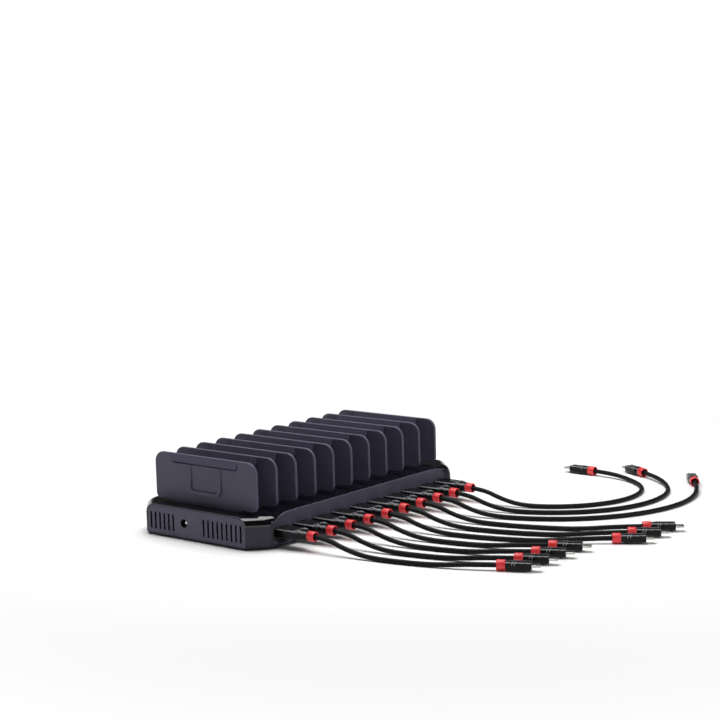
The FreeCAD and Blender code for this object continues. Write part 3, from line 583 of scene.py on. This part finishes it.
# Leads, collars: a glossy red ring at each end of a cord, moulded with rounded rims and a bore that is wider
# than the cord, so a dark gap shows around it. The profile is a place along the ring and a radius.
COLLAR_SIDES = 48
collar_profile = [(0.0, 3.15), (0.0, 3.6), (0.12, 3.85), (0.45, 4.0), (5.7, 4.0), (6.15, 3.94), (6.45, 3.78),
                  (6.6, 3.52), (6.56, 3.28), (6.4, 3.14), (6.1, 3.1), (0.4, 3.1)]
collar_turns = [2 * math.pi / COLLAR_SIDES * k for k in range(COLLAR_SIDES)]
collar_loops = [[(x, radius * math.cos(t), radius * math.sin(t)) for t in collar_turns]
                for x, radius in collar_profile]


def moulded_tpe(name, colour, deep):
    """Red thermoplastic rubber: a clear strong red with a soft shine, a little deeper where the flow of the
    mould has left it thicker, and light enters it slightly, so its shadows stay red."""
    flow_mm = 3
    material, shader = new_material(name, {"IOR": 1.49, "Subsurface Weight": 0.12,
                                           "Subsurface Scale": 0.6 * MM})
    place = add_node(material, "ShaderNodeTexCoord", {}).outputs["Object"]
    flow = add_node(material, "ShaderNodeTexNoise",
                    {"Vector": place, "Scale": per_metre(flow_mm), "Detail": 3.0})
    tone = add_node(material, "ShaderNodeMix",
                    {MIX_SHARE: flow.outputs["Fac"], MIX_FIRST: linear(colour), MIX_SECOND: linear(deep)},
                    data_type="RGBA")
    rough = add_node(material, "ShaderNodeMapRange",
                     {"Value": flow.outputs["Fac"], "To Min": 0.3, "To Max": 0.42})
    set_inputs(material, shader, {"Base Color": tone.outputs[MIXED], "Roughness": rough.outputs["Result"]})
    return material


collar_tpe = moulded_tpe("moulded_red_tpe", "#ee4246", "#dc3439")
collar_mesh = make_mesh("lead_collar", skin(collar_loops, closed=True), collar_tpe)

# Leads, put together: each USB plug is pushed home in its socket, the cord runs from its neck to the device
# plug, and a collar sits at either end of the cord. All of a lead moves with its USB plug.


def ride_lead(name, mesh, number, node, place, heading=0.0):
    """One piece of a lead, put in its place at rest, that stands for a CAD node of that lead."""
    piece = bpy.data.objects.new("usb_lead_%02d_%s" % (number, name), mesh)
    piece.location = place
    piece.rotation_euler = (0, 0, heading)
    bpy.context.scene.collection.objects.link(piece)
    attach(piece, "usb_lead_%02d" % number)
    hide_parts("usb_lead_%02d_%s" % (number, node))
    return piece


for number, (jacket, (route, length)) in enumerate(zip(cords, leads), 1):
    (x0, y0, _), (x1, y1, z1) = route[-2:]
    heading = math.atan2(y1 - y0, x1 - x0)
    shoulder = Vector((SHOULDER, port_y(number), PORT_Z)) * MM
    neck = Vector((SHOULDER + NECK, port_y(number), PORT_Z)) * MM
    far = Vector((x1, port_y(number) + y1, z1)) * MM
    on_cord = [ride_lead("overmould", plug_mesh, number, "plugs", shoulder),
               ride_lead("tip_shell", shell_mesh, number, "plugs", shoulder),
               ride_lead("tip_insulator", core_mesh, number, "plugs", shoulder),
               ride_lead("device_overmould", device_mesh, number, "plugs", far, heading),
               ride_lead("device_tip", tip_mesh, number, "plugs", far, heading),
               ride_lead("collar", collar_mesh, number, "collars", neck),
               ride_lead("device_collar", collar_mesh, number, "collars", far,
                         heading + math.pi)]

# Studio: a white table top that runs on into a white background, a wide softbox overhead and a weak one low
# on the right. In reflections the surround is white at the horizon and dark above it, so that gloss stays
# black.
scene = bpy.context.scene
scene.view_settings.view_transform = "Standard"
WHITE = (1.0, 1.0, 1.0, 1.0)
# The same for a mix of two plain values.
VALUE_FIRST, VALUE_SECOND, VALUE_MIXED = 2, 3, 0


def seen_directly(owner, rays):
    """1 for what the camera sees, straight or in a mirror or through glass, and 0 for light on surfaces."""
    clear = add_node(owner, "ShaderNodeMath",
                     {0: rays.outputs["Is Camera Ray"], 1: rays.outputs["Is Transmission Ray"]},
                     operation="MAXIMUM")
    seen = add_node(owner, "ShaderNodeMath", {0: clear.outputs[0], 1: rays.outputs["Is Glossy Ray"]},
                    operation="MAXIMUM")
    return seen.outputs[0]


FILL_STRENGTH = 0.06
world = bpy.data.worlds.new("white_surround")
scene.world = world
world.use_nodes = True
surround = world.node_tree.nodes["Background"]
world_rays = add_node(world, "ShaderNodeLightPath", {})
direction = add_node(world, "ShaderNodeTexCoord", {}).outputs["Generated"]
height = add_node(world, "ShaderNodeSeparateXYZ", {"Vector": direction}).outputs["Z"]
dome = add_node(world, "ShaderNodeMapRange",
                {"Value": height, "From Min": 0.06, "From Max": 0.18, "To Min": 1.0, "To Max": 0.03},
                interpolation_type="SMOOTHSTEP")
backdrop = add_node(world, "ShaderNodeMix",
                    {MIX_SHARE: world_rays.outputs["Is Glossy Ray"], VALUE_FIRST: 1.0,
                     VALUE_SECOND: dome.outputs["Result"]})
strength = add_node(world, "ShaderNodeMix",
                    {MIX_SHARE: seen_directly(world, world_rays), VALUE_FIRST: FILL_STRENGTH,
                     VALUE_SECOND: backdrop.outputs[VALUE_MIXED]})
set_inputs(world, surround, {"Color": WHITE, "Strength": strength.outputs[VALUE_MIXED]})

TABLE_REACH = 6.0
table_corners = [(x * TABLE_REACH, y * TABLE_REACH, 0) for x, y in ((-1, -1), (1, -1), (1, 1), (-1, 1))]
table_mesh = bpy.data.meshes.new("table_top")
table_mesh.from_pydata(table_corners, [], [(0, 1, 2, 3)])
table = bpy.data.objects.new("table_top", table_mesh)
table.location = ((cad_low[0] + cad_high[0]) / 2, (cad_low[1] + cad_high[1]) / 2, 0.0)
scene.collection.objects.link(table)
laminate, laminate_shader = new_material("white_laminate", {"Base Color": (0.9, 0.9, 0.9, 1.0),
                                                            "Roughness": 1.0, "Specular IOR Level": 0.0})
table_rays = add_node(laminate, "ShaderNodeLightPath", {})
table_place = add_node(laminate, "ShaderNodeTexCoord", {}).outputs["Object"]
spread = add_node(laminate, "ShaderNodeVectorMath", {0: table_place}, operation="LENGTH")
far_off = add_node(laminate, "ShaderNodeMapRange",
                   {"Value": spread.outputs["Value"], "From Min": 0.3, "From Max": 0.58},
                   interpolation_type="SMOOTHSTEP")
fade = add_node(laminate, "ShaderNodeMath",
                {0: seen_directly(laminate, table_rays), 1: far_off.outputs["Result"]}, operation="MULTIPLY")
glow = add_node(laminate, "ShaderNodeEmission", {"Color": WHITE, "Strength": 1.0})
run_out = add_node(laminate, "ShaderNodeMixShader",
                   {0: fade.outputs[0], 1: laminate_shader.outputs["BSDF"], 2: glow.outputs["Emission"]})
set_inputs(laminate, laminate.node_tree.nodes["Material Output"], {"Surface": run_out.outputs["Shader"]})
table_mesh.materials.append(laminate)


def softbox(name, place, target, size, power):
    """A rectangular lamp, of this size in metres and power in watts, that looks at a target."""
    light = bpy.data.lights.new(name, "AREA")
    light.shape = "RECTANGLE"
    light.size, light.size_y = size
    light.energy = power
    lamp = bpy.data.objects.new(name, light)
    lamp.location = place
    lamp.rotation_euler = (Vector(target) - Vector(place)).to_track_quat("-Z", "Y").to_euler()
    scene.collection.objects.link(lamp)


softbox("overhead_softbox", place=(-0.25, 0.12, 1.15), target=(-0.25, 0.12, 0.0), size=(1.4, 1.0), power=21.8)
softbox("right_softbox", place=(1.05, 0.16, 0.42), target=(0.05, 0.0, 0.03), size=(0.5, 0.4), power=2.4)

camera_place = (0.93583, -1.07395, 0.32177)
yaw, pitch, roll = 0.6817, 0.1361, -0.0264
forward = Vector((-math.sin(yaw) * math.cos(pitch), math.cos(yaw) * math.cos(pitch), -math.sin(pitch)))
level = Vector((math.cos(yaw), math.sin(yaw), 0.0))
upright = level.cross(forward)
camera_x = math.cos(roll) * level + math.sin(roll) * upright
camera_y = -math.sin(roll) * level + math.cos(roll) * upright
camera_turn = Matrix((camera_x, camera_y, -forward)).transposed().to_4x4()
camera_data = bpy.data.cameras.new("view")
camera_data.sensor_width = 36.0
camera_data.lens = 86.34
camera = bpy.data.objects.new("view", camera_data)
camera.matrix_world = Matrix.Translation(camera_place) @ camera_turn
scene.collection.objects.link(camera)
scene.camera = camera
